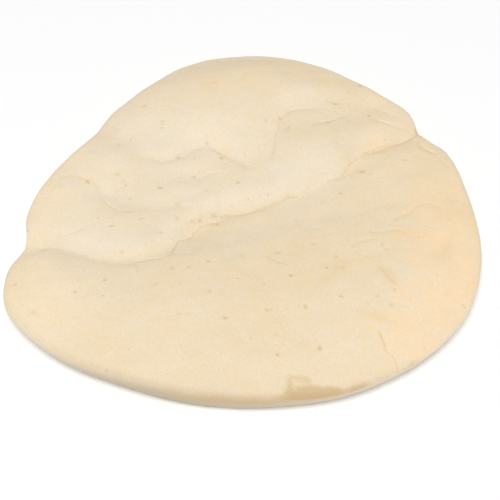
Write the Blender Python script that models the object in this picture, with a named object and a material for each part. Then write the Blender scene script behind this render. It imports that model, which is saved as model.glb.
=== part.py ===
"""A pizza base: one round of soft flat bread about 25 cm across, crumpled a little on top.

The base lies on z = 0 with its middle over the origin, and its front faces -Y. All sizes are in metres.
The upper face is a grid whose middle row runs along the main fold, the rim is a rounded band around
that grid, and the underside is the same grid at half the density.
"""

import math
from collections import namedtuple

import bpy
import numpy as np

# ---- Driving dimensions ----

# How far the rim reaches from the middle, by bearing in degrees anticlockwise from +X.
RIM_REACH = (
    (0, 0.1230),
    (18, 0.1195),
    (23, 0.1153),
    (27, 0.1140),
    (31, 0.1155),
    (36, 0.1166),
    (41, 0.1151),
    (48, 0.1135),
    (60, 0.1130),
    (82, 0.1147),
    (103, 0.1096),
    (121, 0.1018),
    (140, 0.0995),
    (153, 0.0970),
    (171, 0.1073),
    (184, 0.1160),
    (194, 0.1180),
    (202, 0.1307),
    (212, 0.1390),
    (227, 0.1345),
    (246, 0.1262),
    (270, 0.1241),
    (298, 0.1312),
    (323, 0.1358),
    (340, 0.1315),
)

EDGE_THICKNESS = 0.0112
CROWN_HEIGHT = 0.0025  # how much thicker the middle is than the edge, before swells and folds
RIM_BULGE = 0.0050  # how far the rounded rim stands out past the upper face
RIM_SQUARENESS = 2.8  # 2 is an ellipse, and more is squarer
UPRIGHT_BEARING = 262  # the rim stands upright at this bearing, and tucks under on both sides of it
UPRIGHT_SPREAD = 36
LEAST_TUCK = 0.0015
MOST_TUCK = 0.0080

GRID_CELLS = 52  # along each side of the upper face's grid; even, because the underside takes every other line
RIM_BANDS = 6
ROW_CROWDING = 0.16  # how much closer than average the rows lie beside the main fold
UNDER_INSET = 0.900  # the underside's coarse grid starts this far out, inside the rim's last band

# A fold is a groove along a route of (x, y, depth). Its two sides rise from the groove over their own
# lengths, and a lip may stand along the left side, seen in the route's direction.
Fold = namedtuple("Fold", "route softness left_slope right_slope lip_height lip_distance")

MAIN_FOLD = Fold(
    route=(
        (-0.122, -0.031, 0.0030),
        (-0.104, -0.028, 0.0040),
        (-0.086, -0.033, 0.0040),
        (-0.067, -0.039, 0.0026),
        (-0.047, -0.036, 0.0022),
        (-0.035, -0.029, 0.0032),
        (-0.027, -0.019, 0.0052),
        (-0.010, -0.0078, 0.0058),
        (0.012, -0.0015, 0.0046),
        (0.031, 0.006, 0.0044),
        (0.045, 0.016, 0.0044),
        (0.056, 0.022, 0.0048),
        (0.065, 0.035, 0.0046),
        (0.080, 0.042, 0.0042),
        (0.091, 0.049, 0.0048),
        (0.102, 0.062, 0.0046),
    ),
    softness=0.0012,
    left_slope=0.0032,
    right_slope=0.0110,
    lip_height=0.10,
    lip_distance=0.0100,
)

BACK_FOLD = Fold(
    route=(
        (-0.062, 0.035, 0.0000),
        (-0.051, 0.029, 0.0012),
        (-0.043, 0.028, 0.0016),
        (-0.033, 0.034, 0.0020),
        (-0.023, 0.040, 0.0024),
        (-0.013, 0.036, 0.0022),
        (0.000, 0.028, 0.0014),
        (0.008, 0.023, 0.0000),
    ),
    softness=0.0020,
    left_slope=0.0040,
    right_slope=0.0090,
    lip_height=0.30,
    lip_distance=0.0080,
)

LEFT_FOLD = Fold(
    route=(
        (-0.108, 0.018, 0.0009),
        (-0.092, 0.014, 0.0015),
        (-0.080, 0.006, 0.0021),
        (-0.066, -0.002, 0.0026),
        (-0.052, -0.004, 0.0022),
        (-0.036, -0.003, 0.0014),
        (-0.024, 0.001, 0.0000),
    ),
    softness=0.0030,
    left_slope=0.0080,
    right_slope=0.0070,
    lip_height=0.25,
    lip_distance=0.0130,
)

BACK_RIGHT_FOLD = Fold(
    route=(
        (0.003, 0.024, 0.0000),
        (0.010, 0.033, 0.0014),
        (0.015, 0.045, 0.0024),
        (0.018, 0.058, 0.0024),
        (0.024, 0.067, 0.0020),
        (0.034, 0.070, 0.0018),
        (0.046, 0.073, 0.0012),
        (0.056, 0.082, 0.0000),
    ),
    softness=0.0020,
    left_slope=0.0045,
    right_slope=0.0120,
    lip_height=0.20,
    lip_distance=0.0080,
)

FOLDS = (MAIN_FOLD, BACK_FOLD, LEFT_FOLD, BACK_RIGHT_FOLD)

# A swell is a smooth rise (or, with a negative height, a dip) over an oval of the given half lengths,
# turned anticlockwise by so many degrees.
Swell = namedtuple("Swell", "x y half_length half_width turn height")

SWELLS = (
    Swell(-0.016, 0.080, 0.052, 0.032, 8, 0.0070),
    Swell(0.040, 0.080, 0.026, 0.016, -15, 0.0030),
    Swell(0.036, 0.038, 0.026, 0.020, 25, 0.0038),
    Swell(-0.078, 0.032, 0.024, 0.012, -20, 0.0034),
    Swell(-0.096, 0.013, 0.024, 0.013, -12, 0.0030),
    Swell(0.067, 0.066, 0.014, 0.008, 20, -0.0024),
    Swell(0.010, 0.122, 0.080, 0.017, 0, -0.0046),
    Swell(0.014, -0.011, 0.060, 0.017, 18, -0.0026),
    Swell(0.010, -0.076, 0.085, 0.034, 3, 0.0044),
    Swell(-0.106, -0.062, 0.026, 0.022, 20, 0.0024),
    Swell(0.085, -0.045, 0.032, 0.034, 40, 0.0026),
    Swell(0.092, 0.012, 0.022, 0.026, 10, 0.0018),
    Swell(-0.034, 0.016, 0.018, 0.006, 10, -0.0012),
)

RIPPLE_HEIGHT = 0.00035  # the fine unevenness of the skin
RIPPLE_LENGTHS = (0.0270, 0.0190, 0.0135)
UNDER_WAVE_HEIGHT = 0.0008  # the underside touches the table only at the low places of these waves
UNDER_WAVE_LENGTHS = (0.0900, 0.0620, 0.0410)
WAVE_TURN = 68  # degrees between the directions of one wave and the next

CRUST_COLOUR = (0.86, 0.73, 0.52, 1.0)
CRUST_ROUGHNESS = 0.85


# ---- Shape of the base ----


def reach(bearing):
    """How far the rim reaches at these bearings (radians): a smooth curve through RIM_REACH."""
    knots = np.radians([degrees for degrees, _ in RIM_REACH])
    values = np.array([distance for _, distance in RIM_REACH])
    before = np.r_[knots[-1] - math.tau, knots[:-1]]
    after = np.r_[knots[1:], knots[0] + math.tau]
    slopes = (np.roll(values, -1) - np.roll(values, 1)) / (after - before)
    bearing = np.mod(bearing, math.tau)
    start = np.searchsorted(knots, bearing, side="right") - 1
    end = (start + 1) % len(knots)
    span = after[start] - knots[start]
    t = (bearing - knots[start]) / span
    return (
        (1 + 2 * t) * (1 - t) ** 2 * values[start]
        + t * (1 - t) ** 2 * span * slopes[start]
        + t**2 * (3 - 2 * t) * values[end]
        + t**2 * (t - 1) * span * slopes[end]
    )


def smooth_route(points, steps=8):
    """The points of a Catmull-Rom curve through the given ones."""
    points = np.array(points)
    ends = np.vstack([2 * points[0] - points[1], points, 2 * points[-1] - points[-2]])
    t = np.arange(steps)[:, None] / steps
    pieces = []
    for a, b, c, d in zip(ends, ends[1:], ends[2:], ends[3:]):
        pieces.append(
            b + t * (c - a) / 2 + t**2 * (2 * a - 5 * b + 4 * c - d) / 2 + t**3 * (3 * b - a - 3 * c + d) / 2
        )
    return np.vstack([*pieces, points[-1:]])


def across(fold, x, y):
    """The signed distance of each place from a fold's route, positive to its left, and the depth there."""
    route = smooth_route(fold.route)
    nearest = np.full(x.shape, np.inf)
    signed = np.zeros(x.shape)
    depth = np.zeros(x.shape)
    for (ax, ay, a_depth), (bx, by, b_depth) in zip(route, route[1:]):
        dx, dy = bx - ax, by - ay
        t = np.clip(((x - ax) * dx + (y - ay) * dy) / (dx**2 + dy**2), 0, 1)
        off_x, off_y = x - ax - t * dx, y - ay - t * dy
        distance = np.hypot(off_x, off_y)
        closer = distance < nearest
        nearest = np.where(closer, distance, nearest)
        signed = np.where(closer, np.copysign(distance, dx * off_y - dy * off_x), signed)
        depth = np.where(closer, a_depth + t * (b_depth - a_depth), depth)
    return signed, depth


def fold_height(fold, x, y):
    distance, depth = across(fold, x, y)
    away = np.sqrt(distance**2 + fold.softness**2) - fold.softness
    slope = np.where(distance > 0, fold.left_slope, fold.right_slope)
    lip = np.exp(-(((distance - fold.lip_distance) / (0.6 * fold.lip_distance)) ** 2))
    return depth * (fold.lip_height * lip - np.exp(-away / slope))


def swell_height(swell, x, y):
    turn = math.radians(swell.turn)
    along = (x - swell.x) * math.cos(turn) + (y - swell.y) * math.sin(turn)
    beside = (y - swell.y) * math.cos(turn) - (x - swell.x) * math.sin(turn)
    return swell.height * np.exp(-((along / swell.half_length) ** 2) - (beside / swell.half_width) ** 2)


def waves(x, y, lengths):
    """A sum of sine waves, each in its own direction, between -1 and 1."""
    total = 0
    for number, length in enumerate(lengths):
        turn = math.radians(number * WAVE_TURN)
        along = x * math.cos(turn) + y * math.sin(turn)
        beside = y * math.cos(turn) - x * math.sin(turn)
        total = total + np.sin(math.tau * along / length + number) * np.cos(math.tau * beside / (1.3 * length))
    return total / len(lengths)


def under_height(x, y):
    return UNDER_WAVE_HEIGHT * (1 + waves(x, y, UNDER_WAVE_LENGTHS))


def upper_height(x, y):
    share = np.hypot(x, y) / reach(np.arctan2(y, x))
    height = under_height(x, y) + EDGE_THICKNESS + CROWN_HEIGHT * (1 - share**2)
    for swell in SWELLS:
        height = height + swell_height(swell, x, y)
    for fold in FOLDS:
        height = height + fold_height(fold, x, y)
    return height + RIPPLE_HEIGHT * waves(x, y, RIPPLE_LENGTHS)


# ---- Layout of the grid ----


def disc_place(column, row):
    """Where a point of the square from -1 to 1 lies on the face inside the rim, with rows along the main fold."""
    (start_x, start_y, _), (end_x, end_y, _) = MAIN_FOLD.route[0], MAIN_FOLD.route[-1]
    turn = math.atan2(end_y - start_y, end_x - start_x)
    u = column * np.sqrt(1 - row**2 / 2)
    v = row * np.sqrt(1 - column**2 / 2)
    bearing = np.arctan2(v, u) + turn
    distance = np.hypot(u, v) * (reach(bearing) - RIM_BULGE)
    return distance * np.cos(bearing), distance * np.sin(bearing)


def fold_rows(columns):
    """For each column of the square, the row at which it crosses the main fold."""
    rows = np.linspace(-0.5, 0.5, 101)
    crossings = []
    for column in columns:
        x, y = disc_place(np.full(rows.shape, column), rows)
        side, _ = across(MAIN_FOLD, x, y)
        crossings.append(np.interp(0, side, rows))
    return np.array(crossings)


def grid_places():
    """The plan places of the upper face's grid, as two square arrays."""
    lines = np.linspace(-1, 1, GRID_CELLS + 1)
    crowded = lines * (1 - ROW_CROWDING + ROW_CROWDING * lines**2)
    column, row = np.meshgrid(lines, crowded)
    bent_row = row + fold_rows(lines)[None, :] * (1 - row**2)
    return disc_place(column, bent_row)


def around(indices):
    """The entries on the outside of a square array, anticlockwise from its first corner."""
    return np.concatenate([indices[0, :-1], indices[:-1, -1], indices[-1, :0:-1], indices[:0:-1, 0]])


def grid_faces(indices):
    """One quad for each cell of a square array of vertex numbers, facing up."""
    corners = (indices[:-1, :-1], indices[:-1, 1:], indices[1:, 1:], indices[1:, :-1])
    return np.stack([corner.ravel() for corner in corners], axis=1).tolist()


def band_faces(upper, lower):
    """Quads between two loops of as many vertices, facing away from the middle."""
    return np.stack([upper, lower, np.roll(lower, -1), np.roll(upper, -1)], axis=1).tolist()


def halving_faces(fine, coarse):
    """Triangles from a loop to one with half as many vertices that lies inside it, facing down."""
    faces = []
    for place, start in enumerate(coarse):
        end = coarse[(place + 1) % len(coarse)]
        first, middle, last = (fine[(2 * place + step) % len(fine)] for step in range(3))
        faces += [(first, start, middle), (middle, start, end), (middle, end, last)]
    return faces


# ---- The solid ----


def rim_tuck(x, y):
    """How much further in the rim's foot lies than its top, at these places along it."""
    turned = np.degrees(np.arctan2(y, x)) - UPRIGHT_BEARING
    turned = np.mod(turned + 180, 360) - 180
    return MOST_TUCK - (MOST_TUCK - LEAST_TUCK) * np.exp(-((turned / UPRIGHT_SPREAD) ** 2))


def rim_loops(x, y):
    """The loops of the rim below the grid's edge, down to the underside, as arrays of points."""
    top, bottom = upper_height(x, y), under_height(x, y)
    distance = np.hypot(x, y)
    loops = []
    for band in range(1, RIM_BANDS + 1):
        angle = math.pi / 2 - math.pi * band / RIM_BANDS
        out = abs(math.cos(angle)) ** (2 / RIM_SQUARENESS) if band < RIM_BANDS else 0
        rise = math.copysign(abs(math.sin(angle)) ** (2 / RIM_SQUARENESS), angle)
        fallen = ((1 - rise) / 2) ** 1.5
        stretch = 1 + (RIM_BULGE * out - rim_tuck(x, y) * fallen) / distance
        height = top - (top - bottom) * (1 - rise) / 2
        loops.append(np.stack([x * stretch, y * stretch, height], axis=1))
    return loops


def base_mesh():
    x, y = grid_places()
    points = [np.stack([x, y, upper_height(x, y)], axis=2).reshape(-1, 3)]
    top = np.arange(x.size).reshape(x.shape)
    edge = around(top)
    faces = grid_faces(top)
    total = x.size
    for loop in rim_loops(around(x), around(y)):
        below = total + np.arange(len(loop))
        faces += band_faces(edge, below)
        points.append(loop)
        total += len(loop)
        edge = below
    under_x, under_y = x[::2, ::2] * UNDER_INSET, y[::2, ::2] * UNDER_INSET
    points.append(np.stack([under_x, under_y, under_height(under_x, under_y)], axis=2).reshape(-1, 3))
    underside = total + np.arange(under_x.size).reshape(under_x.shape)
    faces += halving_faces(edge, around(underside))
    faces += [face[::-1] for face in grid_faces(underside)]
    points = np.vstack(points)
    middle = (points.min(axis=0) + points.max(axis=0)) / 2
    points -= [middle[0], middle[1], points[:, 2].min()]
    mesh = bpy.data.meshes.new("pizza_base")
    mesh.from_pydata(points.tolist(), [], faces)
    mesh.shade_smooth()
    return mesh


def crust_material():
    material = bpy.data.materials.new("pale_crust")
    material.use_nodes = True
    shader = material.node_tree.nodes["Principled BSDF"]
    shader.inputs["Base Color"].default_value = CRUST_COLOUR
    shader.inputs["Roughness"].default_value = CRUST_ROUGHNESS
    shader.inputs["Metallic"].default_value = 0.0
    return material


def clear_scene():
    for thing in list(bpy.data.objects):
        bpy.data.objects.remove(thing, do_unlink=True)


def make_base():
    base = bpy.data.objects.new("pizza_base", base_mesh())
    base.data.materials.append(crust_material())
    bpy.context.scene.collection.objects.link(base)


clear_scene()
make_base()
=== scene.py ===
import math
import random
from collections import namedtuple

import bmesh
import bpy
import numpy as np
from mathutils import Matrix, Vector


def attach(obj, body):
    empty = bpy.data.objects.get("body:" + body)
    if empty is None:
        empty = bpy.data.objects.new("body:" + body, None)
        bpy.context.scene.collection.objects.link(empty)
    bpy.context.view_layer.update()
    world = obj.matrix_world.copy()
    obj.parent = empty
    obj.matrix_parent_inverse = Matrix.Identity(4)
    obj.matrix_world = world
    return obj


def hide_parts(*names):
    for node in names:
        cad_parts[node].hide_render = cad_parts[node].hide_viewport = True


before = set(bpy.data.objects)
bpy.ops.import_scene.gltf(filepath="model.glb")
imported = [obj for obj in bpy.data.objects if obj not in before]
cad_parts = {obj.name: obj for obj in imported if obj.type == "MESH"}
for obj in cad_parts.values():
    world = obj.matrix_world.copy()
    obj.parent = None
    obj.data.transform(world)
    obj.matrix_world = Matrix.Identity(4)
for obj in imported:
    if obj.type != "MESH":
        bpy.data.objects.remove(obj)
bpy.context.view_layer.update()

# ---- Camera ----
# A short telephoto lens above the front of the base, looking down at just over half a right angle. It
# stands straight in front, so the base is seen without a turn.

VIEW_ELEVATION = math.radians(52)
VIEW_DISTANCE = 0.6164
VIEW_TARGET = Vector((0.0021, -0.0237, 0.0060))
LENS = 85  # millimetres
SENSOR_WIDTH = 36  # millimetres

lens = bpy.data.cameras.new("studio_lens")
lens.lens = LENS
lens.sensor_width = SENSOR_WIDTH
camera = bpy.data.objects.new("studio_camera", lens)
toward_camera = Vector((0, -math.cos(VIEW_ELEVATION), math.sin(VIEW_ELEVATION)))
camera.location = VIEW_TARGET + VIEW_DISTANCE * toward_camera
camera.rotation_euler = (math.pi / 2 - VIEW_ELEVATION, 0, 0)
bpy.context.scene.collection.objects.link(camera)
bpy.context.scene.camera = camera


# ---- Base: the smooth form ----
# The base is one round of soft white dough, rolled out, docked with a spiked roller and baked for a few
# minutes until it is set but still pale. Its form is the solid's, with the loose triangles joined up and
# rounded by subdivision, and a finer mesh where the skin is creased or pricked.

ROUNDING_LEVELS = 2
MERGE_DISTANCE = 0.00001
JOINING_ANGLE = math.radians(60)  # the most that two triangles of a quad may differ by
DOWNWARD = -0.9  # a point's normal looks at least this far down on the flat underside
KEPT_SHARE = 0.86  # of all faces, once the flat underside is thinned


def joined_copy(node):
    """A new mesh with the node's triangles merged and paired into quads."""
    shape = bmesh.new()
    shape.from_mesh(node.data)
    bmesh.ops.remove_doubles(shape, verts=shape.verts, dist=MERGE_DISTANCE)
    bmesh.ops.join_triangles(
        shape,
        faces=shape.faces,
        angle_face_threshold=JOINING_ANGLE,
        angle_shape_threshold=JOINING_ANGLE,
    )
    mesh = bpy.data.meshes.new("soft_base")
    shape.to_mesh(mesh)
    shape.free()
    return mesh


def settled(piece):
    """The piece's evaluated shape as a plain mesh, with its modifiers removed."""
    bpy.context.view_layer.update()
    seen = piece.evaluated_get(bpy.context.evaluated_depsgraph_get())
    mesh = bpy.data.meshes.new_from_object(seen)
    piece.modifiers.clear()
    piece.data = mesh


base = bpy.data.objects.new("soft_base", joined_copy(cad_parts["pizza_base"]))
bpy.context.scene.collection.objects.link(base)
rounding = base.modifiers.new("rounding", "SUBSURF")
rounding.levels = ROUNDING_LEVELS
rounding.render_levels = ROUNDING_LEVELS
settled(base)

below = base.vertex_groups.new(name="underside")
below.add([vertex.index for vertex in base.data.vertices if vertex.normal.z < DOWNWARD], 1.0, "REPLACE")
thinning = base.modifiers.new("thinning", "DECIMATE")
thinning.ratio = KEPT_SHARE
thinning.vertex_group = below.name
settled(base)
base.vertex_groups.clear()


# ---- Base: tucks and hollows ----
# The dough was lifted and laid down again, so its top is rumpled: long folds that end in a sharp tuck, and
# broad hollows beside them. Each is a rise along a line on the upper face, in millimetres from the middle:
# its height, below zero where it is a hollow, and how far it reaches behind and ahead of the line.

MILLIMETRE = 0.001
END_SHARE = 0.25  # of a line's length, over which a rise dies out at each end
UPPER_FACE = (0.2, 0.7)  # how far up a point's normal looks where the upper face begins and is full
SPLIT_FACING = 0.4  # how far up it looks where the mesh may be split once more
SPLIT_REACH = 1.8  # how far from a tuck or a pit the mesh is split once more, in millimetres

Rise = namedtuple("Rise", "height behind ahead route")

TUCKS = (
    # the main fold
    Rise(
        -0.35, 7, 7,
        ((-115, -36), (-112, -29), (-104, -25), (-97, -24), (-89, -27), (-81, -31), (-77, -36)),
    ),
    Rise(-0.35, 6, 6, ((-81, -33), (-70, -36), (-59, -36), (-49, -35), (-42, -33), (-37, -30))),
    Rise(
        -0.4, 4, 6,
        ((-40, -33), (-37, -24), (-34, -20), (-29, -17), (-27, -12), (-24, -9), (-19, -7), (-13, -6)),
    ),
    Rise(-0.6, 6, 6, ((-24, -6), (-18, -3), (-13, -2), (-6, -1), (2, 0), (8, 2), (14, 4), (18, 6), (25, 8))),
    Rise(-0.5, 10, 7, ((18, 6), (26, 9), (33, 14), (40, 18), (49, 23))),
    Rise(-0.5, 2.4, 5, ((45, 20), (51, 25), (56, 31), (62, 38), (67, 42), (72, 44))),
    Rise(-1.0, 2.6, 5, ((62, 39), (68, 42), (74, 45), (81, 48), (88, 52), (94, 56))),
    Rise(-0.4, 3, 3, ((93, 55), (99, 44), (106, 36), (112, 26))),
    # the fold behind it
    Rise(
        -0.7, 9, 4,
        ((-60, 34), (-52, 34), (-46, 33), (-39, 34), (-34, 37), (-29, 41), (-25, 42), (-22, 43)),
    ),
    Rise(-0.7, 9, 4, ((-26, 42), (-22, 43), (-18, 42), (-14, 39), (-9, 35), (-3, 30), (2, 26), (9, 27))),
    Rise(-0.35, 3, 4, ((-33, 25), (-29, 22), (-25, 20), (-21, 23), (-15, 25))),
    Rise(
        -0.3, 6, 6,
        ((-102, 15), (-95, 19), (-91, 20), (-87, 18), (-83, 15), (-78, 12), (-74, 9), (-67, 7), (-61, 6)),
    ),
    Rise(-0.2, 4, 8, ((-78, 5), (-70, -2), (-65, -4), (-60, -5), (-53, -3))),
    Rise(-0.3, 3, 6, ((-56, -4), (-46, -1), (-35, 1), (-23, -1))),
    Rise(-0.3, 4, 2.5, ((-102, -17), (-97, -18), (-91, -18), (-86, -15), (-81, -12))),
    # the back
    Rise(-0.5, 4, 4, ((20, 68), (18, 58), (15, 49), (14, 40), (12, 31))),
    Rise(-0.4, 7, 4, ((21, 67), (25, 69), (30, 70), (36, 70), (44, 71))),
    Rise(-0.3, 3, 3, ((38, 56), (47, 61), (54, 66), (61, 70))),
    Rise(-0.35, 2.5, 3.5, ((67, 68), (75, 63), (84, 60), (94, 60))),
    Rise(-0.3, 3, 3, ((68, 77), (75, 73), (81, 69), (88, 65))),
    # the right side
    Rise(-0.3, 4, 4, ((53, -10), (63, -3), (71, 0), (82, 4))),
)

HOLLOWS = (
    Rise(-0.5, 8, 8, ((54, 33), (65, 33), (76, 34))),
    Rise(-0.5, 10, 8, ((45, 43), (62, 45), (78, 50))),
)


def smooth_step(values, start, end):
    """The values mapped from start..end onto 0..1, easing in and out."""
    share = np.clip((values - start) / (end - start), 0, 1)
    return share * share * (3 - 2 * share)


def raised(x, y, rise, sharp):
    """How much a rise adds at each place, in millimetres: a ridge along its line if sharp, else rounded."""
    gap = np.full(len(x), np.inf)
    along = np.zeros(len(x))
    reach = np.ones(len(x))
    passed = 0.0
    for (ax, ay), (bx, by) in zip(rise.route, rise.route[1:]):
        length = math.hypot(bx - ax, by - ay)
        ux, uy = (bx - ax) / length, (by - ay) / length
        step = np.clip((x - ax) * ux + (y - ay) * uy, 0, length)
        away = np.hypot(x - ax - step * ux, y - ay - step * uy)
        closer = away < gap
        gap[closer] = away[closer]
        along[closer] = passed + step[closer]
        reach[closer] = np.where(ux * (y - ay) - uy * (x - ax) > 0, rise.behind, rise.ahead)[closer]
        passed += length
    share = np.clip(gap / reach, 0, 1)
    profile = (1 - share) ** 2 if sharp else (1 - share**2) ** 2
    return rise.height * profile * smooth_step(np.minimum(along, passed - along), 0, END_SHARE * passed)


def points_of(mesh):
    """The mesh's points and their normals, as two arrays of three columns."""
    places = np.empty(len(mesh.vertices) * 3, np.float32)
    normals = np.empty(len(mesh.vertices) * 3, np.float32)
    mesh.vertices.foreach_get("co", places)
    mesh.vertex_normals.foreach_get("vector", normals)
    return places.reshape(-1, 3), normals.reshape(-1, 3)


def split_near(piece, routes):
    """Splits the upper face's mesh once more near the routes, and evens out the new points."""
    near = []
    for route in routes:
        for (ax, ay), (bx, by) in zip(route, route[1:]):
            steps = max(1, round(math.hypot(bx - ax, by - ay)))
            near += [(ax + (bx - ax) * k / steps, ay + (by - ay) * k / steps) for k in range(steps + 1)]
    shape = bmesh.new()
    shape.from_mesh(piece.data)
    middles = np.array([(edge.verts[0].co + edge.verts[1].co) / 2 for edge in shape.edges]) / MILLIMETRE
    upward = np.array([edge.verts[0].normal.z for edge in shape.edges]) > SPLIT_FACING
    close = np.zeros(len(middles), bool)
    for x, y in near:
        close |= (middles[:, 0] - x) ** 2 + (middles[:, 1] - y) ** 2 < SPLIT_REACH**2
    shape.edges.ensure_lookup_table()
    chosen = [shape.edges[number] for number in np.flatnonzero(close & upward)]
    made = bmesh.ops.subdivide_edges(shape, edges=chosen, cuts=1, use_grid_fill=True, smooth=0.0)
    inner = [part for part in made["geom_inner"] if isinstance(part, bmesh.types.BMVert)]
    bmesh.ops.smooth_vert(shape, verts=inner, factor=0.5, use_axis_x=True, use_axis_y=True, use_axis_z=True)
    mesh = bpy.data.meshes.new(piece.name)
    shape.to_mesh(mesh)
    shape.free()
    piece.data = mesh


split_near(base, [tuck.route for tuck in TUCKS])
places, normals = points_of(base.data)
x, y = places[:, 0] / MILLIMETRE, places[:, 1] / MILLIMETRE
added = sum(raised(x, y, rise, sharp) for rises, sharp in ((TUCKS, True), (HOLLOWS, False)) for rise in rises)
places[:, 2] += added * MILLIMETRE * smooth_step(normals[:, 2], *UPPER_FACE)
base.data.vertices.foreach_set("co", places.ravel())
base.data.update()


# ---- Base: creases and docking holes ----
# Where the dough was folded over, its skin cracked along short lines, browned and, deep in each fold,
# darkened with painted shade. The docking spikes left shallow pits, browned at the bottom. Each is a mark:
# a line on the upper face, in millimetres from the middle, with its width and depth in millimetres and how
# dark it is.

Mark = namedtuple("Mark", "width depth browning route")

# A crease's darkening is partly browning and partly painted shade deep in the fold.
CREASES = (
    # the front of the main fold, from the left rim to the back right rim
    Mark(
        5.0, 0.15, 0.05,
        ((-115, -28), (-109, -26), (-102, -25), (-93, -26), (-86, -30), (-79, -34), (-70, -38)),
    ),
    Mark(2.0, 0.15, 0.35, ((-70, -38), (-62, -38), (-52, -35), (-45, -34), (-38, -31))),
    Mark(
        1.8, 0.30, 0.90,
        ((-39, -32), (-37, -26), (-35, -21), (-29, -17), (-27, -13), (-23, -9), (-19, -7), (-12, -6)),
    ),
    Mark(1.8, 0.30, 0.30, ((-38, -31), (-35, -31), (-30, -32), (-26, -32))),
    Mark(5.0, 0.25, 0.70, ((-18, -3), (-11, -2), (-1, -1), (5, 1), (12, 4), (19, 7), (22, 9), (27, 10))),
    Mark(2.4, 0.30, 0.10, ((-15, 7), (-14, 0), (-15, -3))),
    Mark(2.2, 0.15, 0.15, ((27, 9), (32, 14), (39, 19), (44, 21))),
    Mark(1.8, 0.20, 0.65, ((44, 20), (50, 23), (54, 28), (58, 34), (63, 39), (67, 42))),
    Mark(1.8, 0.30, 0.85, ((65, 41), (70, 44), (77, 47), (83, 49), (89, 52), (93, 54), (97, 58))),
    Mark(1.8, 0.20, 0.15, ((49, 21), (54, 24), (59, 27), (61, 34), (63, 39))),
    Mark(3.0, 0.35, 0.40, ((96, 50), (97, 44), (101, 41), (107, 38), (111, 33))),
    Mark(2.6, 0.70, 1.00, ((96, 62), (97, 58))),
    # behind the fold
    Mark(4.0, 0.20, 0.20, ((-53, 35), (-47, 35), (-41, 35), (-35, 39), (-31, 41), (-25, 42), (-21, 44))),
    Mark(4.0, 0.20, 0.20, ((-21, 44), (-17, 41), (-13, 38), (-9, 36), (-4, 33), (0, 28))),
    Mark(3.0, 0.30, 0.20, ((14, 32), (15, 40), (16, 48), (17, 56), (19, 63), (24, 68), (29, 70), (35, 70))),
    Mark(2.2, 0.30, 0.30, ((36, 57), (41, 59), (47, 61), (53, 65), (58, 69))),
    Mark(2.0, 0.35, 0.60, ((45, 77), (49, 75), (54, 75))),
    Mark(2.0, 0.20, 0.15, ((70, 68), (74, 64), (81, 60), (86, 59), (92, 60))),
    Mark(2.0, 0.20, 0.15, ((57, 85), (62, 83), (68, 80), (70, 77))),
    Mark(5.0, 0.15, 0.30, ((-100, 19), (-93, 21), (-85, 18), (-79, 13))),
    Mark(2.2, 0.15, 0.45, ((-76, 4), (-72, 1), (-68, -2), (-63, -3), (-58, -3), (-53, -2))),
    Mark(2.2, 0.20, 0.05, ((-51, 0), (-44, 1), (-36, 1), (-27, -1))),
    Mark(1.6, 0.20, 0.20, ((-99, -19), (-94, -19), (-89, -17), (-86, -15), (-84, -13))),
    Mark(1.8, 0.22, 0.25, ((-56, 69), (-52, 71), (-46, 71), (-40, 69), (-35, 66))),
    Mark(1.8, 0.15, 0.20, ((-33, 88), (-31, 91), (-27, 92), (-22, 93), (-19, 91))),
    Mark(1.8, 0.15, 0.20, ((-40, 88), (-37, 90), (-34, 93))),
    Mark(1.8, 0.15, 0.20, ((-4, 89), (0, 95), (4, 99))),
    # short wrinkles of the right side and the front
    Mark(3.0, 0.40, 0.38, ((64, -19), (68, -20), (73, -19), (78, -18), (82, -20))),
    Mark(3.6, 0.40, 0.30, ((54, -29), (58, -26), (62, -25), (68, -24))),
    Mark(3.6, 0.10, 0.30, ((68, -43), (70, -47), (73, -52), (75, -54))),
    Mark(3.6, 0.30, 0.32, ((78, -10), (82, -8), (87, -5), (90, -1), (93, 0), (97, 1), (103, -2))),
    Mark(1.0, 0.20, 0.80, ((107, 5), (109, 4), (113, 4))),
    Mark(1.8, 0.20, 0.35, ((74, -5), (79, 1), (83, 2))),
    Mark(1.2, 0.20, 0.60, ((84, -22), (87, -24))),
    Mark(1.2, 0.20, 0.60, ((93, -15), (96, -16), (98, -17))),
    Mark(1.6, 0.20, 0.80, ((10, -35), (13, -37), (16, -39), (19, -40), (21, -41))),
    Mark(1.6, 0.15, 0.25, ((-32, -88), (-30, -92), (-27, -94), (-23, -96))),
    # the crack in the front right of the rim
    Mark(2.2, 0.40, 1.00, ((65, -82), (66, -85), (67, -88), (67, -90))),
    Mark(1.7, 0.25, 0.60, ((67, -89), (68, -92), (71, -95), (72, -98), (73, -102))),
    Mark(1.8, 0.30, 0.60, ((73, -102), (71, -105), (67, -105))),
)

# A pit: its middle, length, direction in degrees, width, depth and darkening, which is its browning.
Pit = namedtuple("Pit", "x y length turn width depth browning")

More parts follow.
